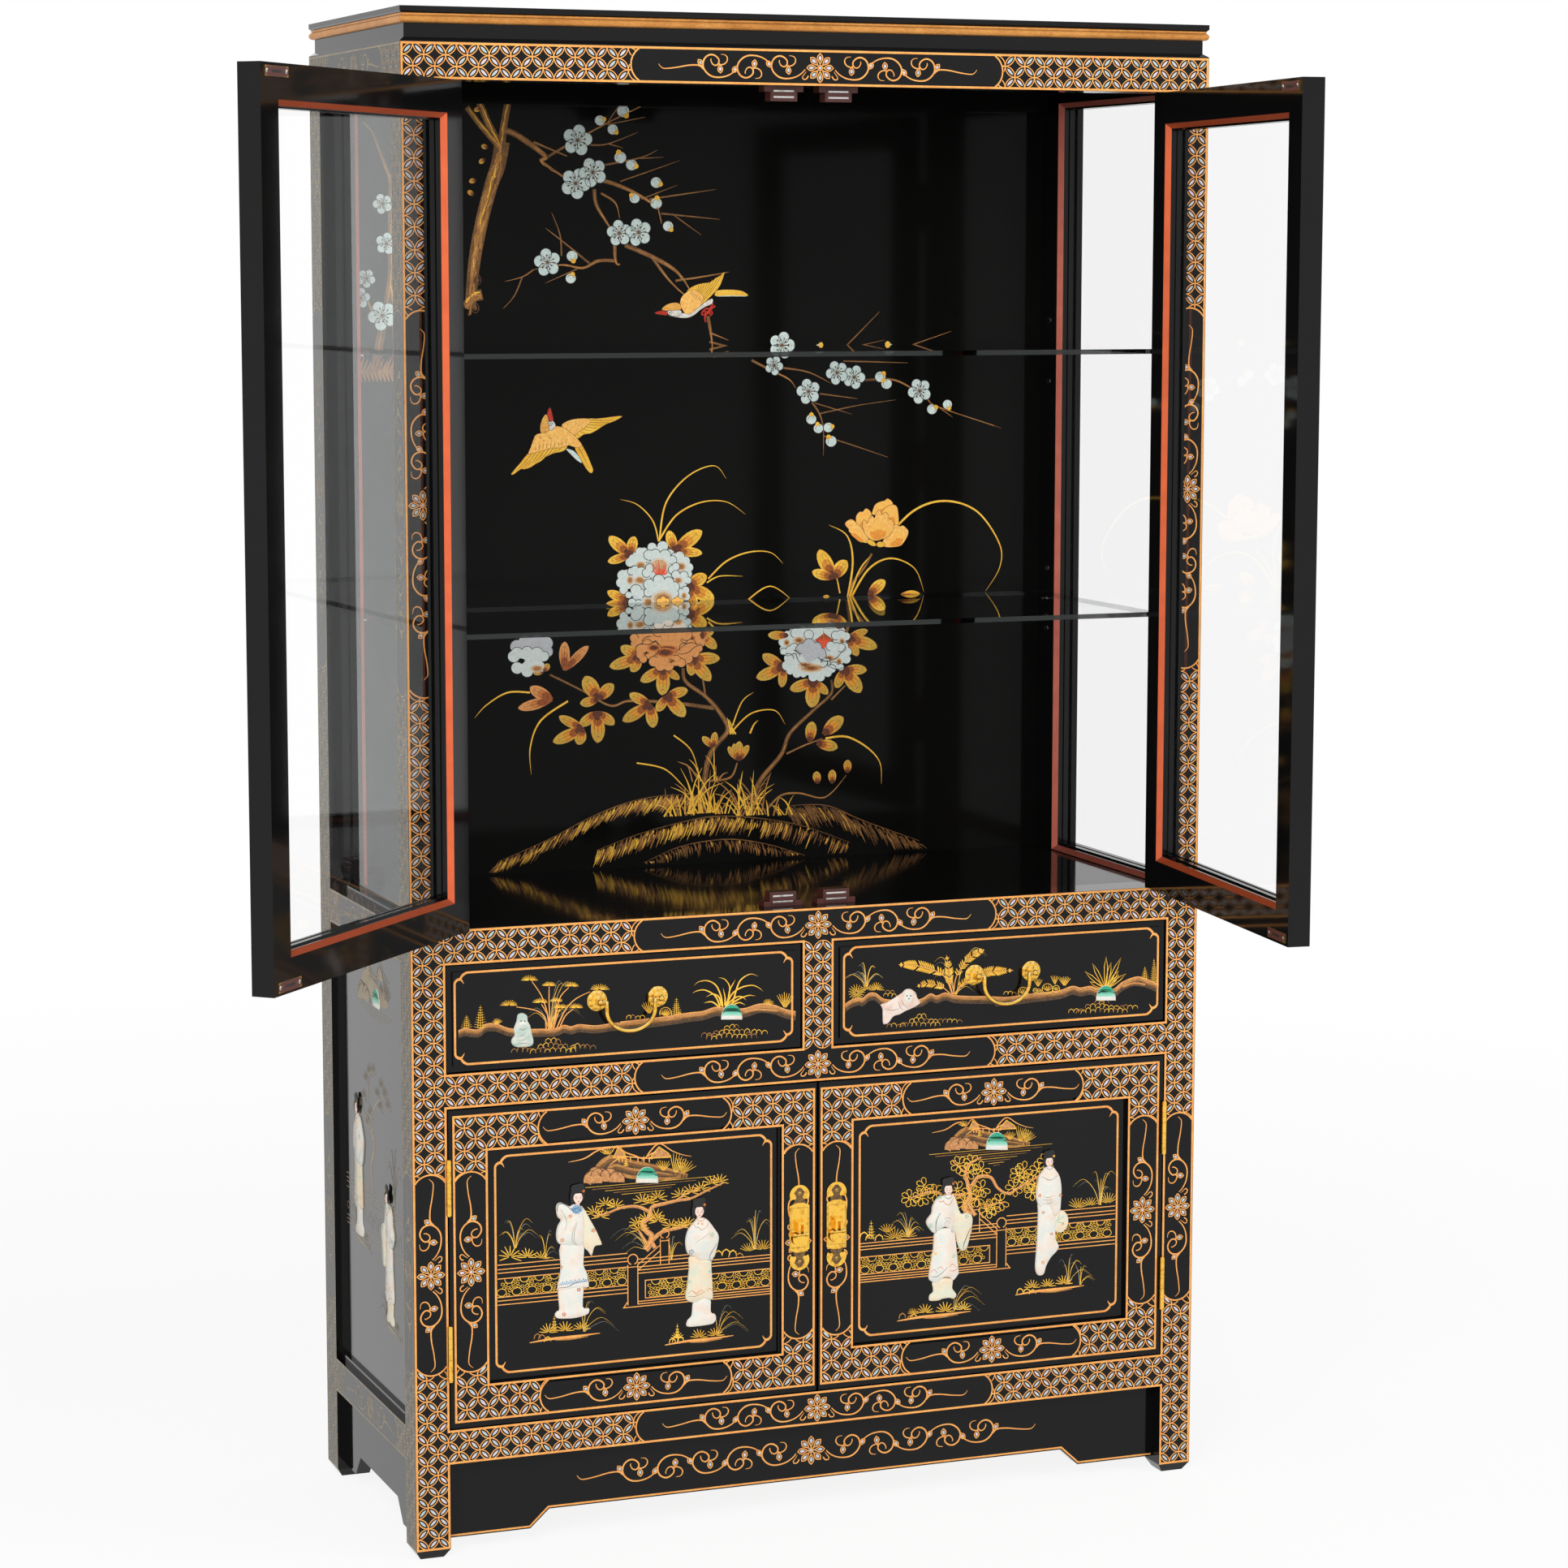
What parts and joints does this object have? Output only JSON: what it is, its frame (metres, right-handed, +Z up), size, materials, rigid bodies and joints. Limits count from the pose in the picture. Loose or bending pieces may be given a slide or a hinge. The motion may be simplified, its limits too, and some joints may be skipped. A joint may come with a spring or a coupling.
{
  "type": "china cabinet",
  "caption": "Tall lacquered china cabinet: glazed display cupboard with glass shelves over drawers and a low cupboard, gilt painted.",
  "frame": {"origin": "the middle of the front left foot's sole, on the floor, which is the front_left_foot mount", "axes": "+Z up, +X to the right as seen from the front, +Y towards the back; the doors and drawers face -Y"},
  "size_m": [1.3041, 0.8782, 1.83],
  "materials": {
    "lacquer": "gloss black lacquer",
    "gilt": "satin gilt",
    "orange_bead": "satin painted",
    "glass": "clear",
    "shelf_glass": "clear, ground edges",
    "stained_wood": "satin stained",
    "plain_wood": "matt",
    "brass": "polished",
    "brown_plastic": "gloss",
    "carved_stone": "polished"
  },
  "bodies": {
    "carcase": {"front_left_post": "lacquer", "front_right_post": "lacquer", "rear_left_post": "lacquer", "rear_right_post": "lacquer", "top_slab": "lacquer", "crown_frieze": "lacquer", "front_top_rail": "lacquer", "deck_rail": "lacquer", "drawer_divider": "lacquer", "drawer_rail": "lacquer", "bottom_rail": "lacquer", "front_apron": "lacquer", "left_side_rails": "lacquer", "right_side_rails": "lacquer", "side_aprons": "lacquer", "side_panels": "lacquer", "window_frames": "lacquer", "deck_board": "lacquer", "ceiling_board": "lacquer", "rear_rails": "lacquer", "upper_back_panel": "lacquer", "lower_back_panel": "lacquer", "crown_beading": "gilt", "window_beading": "orange_bead", "window_glass": "glass", "glass_shelves": "shelf_glass", "dust_board": "stained_wood", "cupboard_floor": "stained_wood", "drawer_runners": "plain_wood", "post_hinge_leaves": "brass", "hinge_pins": "brass", "shelf_pegs": "brass", "magnetic_catches": "brown_plastic", "side_figures": "carved_stone"},
    "upper_left_door": {"upper_left_door_frame": "lacquer", "upper_left_door_beading": "orange_bead", "upper_left_door_glass": "glass", "upper_left_door_hardware": "brass"},
    "upper_right_door": {"upper_right_door_frame": "lacquer", "upper_right_door_beading": "orange_bead", "upper_right_door_glass": "glass", "upper_right_door_hardware": "brass"},
    "lower_left_door": {"lower_left_door_frame": "lacquer", "lower_left_door_panel": "lacquer", "lower_left_door_hardware": "brass", "lower_left_door_figures": "carved_stone"},
    "lower_right_door": {"lower_right_door_frame": "lacquer", "lower_right_door_panel": "lacquer", "lower_right_door_hardware": "brass", "lower_right_door_figures": "carved_stone"},
    "left_drawer": {"left_drawer_front": "lacquer", "left_drawer_box": "plain_wood", "left_pull_mounts": "brass"},
    "right_drawer": {"right_drawer_front": "lacquer", "right_drawer_box": "plain_wood", "right_pull_mounts": "brass"},
    "left_pull": {"left_bail": "brass"},
    "right_pull": {"right_bail": "brass"},
    "left_tab": {"left_lock_tab": "brass"},
    "right_tab": {"right_lock_tab": "brass"}
  },
  "joints": [
    {"name": "upper_left_door_hinge", "type": "hinge", "parent": "carcase", "child": "upper_left_door", "pos_m": [0.02225, -0.0244, 1.25475], "axis": [0, 0, -1], "range_deg": [-133, 37]},
    {"name": "upper_right_door_hinge", "type": "hinge", "parent": "carcase", "child": "upper_right_door", "pos_m": [0.96475, -0.0244, 1.25475], "axis": [0, 0, 1], "range_deg": [-84, 86]},
    {"name": "lower_left_door_hinge", "type": "hinge", "parent": "carcase", "child": "lower_left_door", "pos_m": [0.02225, -0.0244, 0.352], "axis": [0, 0, -1], "range_deg": [0, 170]},
    {"name": "lower_right_door_hinge", "type": "hinge", "parent": "carcase", "child": "lower_right_door", "pos_m": [0.96475, -0.0244, 0.352], "axis": [0, 0, 1], "range_deg": [0, 170]},
    {"name": "left_drawer_slide", "type": "slide", "parent": "carcase", "child": "left_drawer", "axis": [0, -1, 0], "range_m": [0, 0.25]},
    {"name": "right_drawer_slide", "type": "slide", "parent": "carcase", "child": "right_drawer", "axis": [0, -1, 0], "range_m": [0, 0.25]},
    {"name": "left_bail_pivot", "type": "hinge", "parent": "left_drawer", "child": "left_pull", "pos_m": [0.24725, -0.035, 0.666], "axis": [-1, 0, 0], "range_deg": [-8, 100]},
    {"name": "right_bail_pivot", "type": "hinge", "parent": "right_drawer", "child": "right_pull", "pos_m": [0.73975, -0.035, 0.666], "axis": [-1, 0, 0], "range_deg": [-8, 100]},
    {"name": "left_tab_pivot", "type": "hinge", "parent": "lower_left_door", "child": "left_tab", "pos_m": [0.469, -0.026, 0.358], "axis": [-1, 0, 0], "range_deg": [0, 85]},
    {"name": "right_tab_pivot", "type": "hinge", "parent": "lower_right_door", "child": "right_tab", "pos_m": [0.518, -0.026, 0.358], "axis": [-1, 0, 0], "range_deg": [0, 85]}
  ]
}
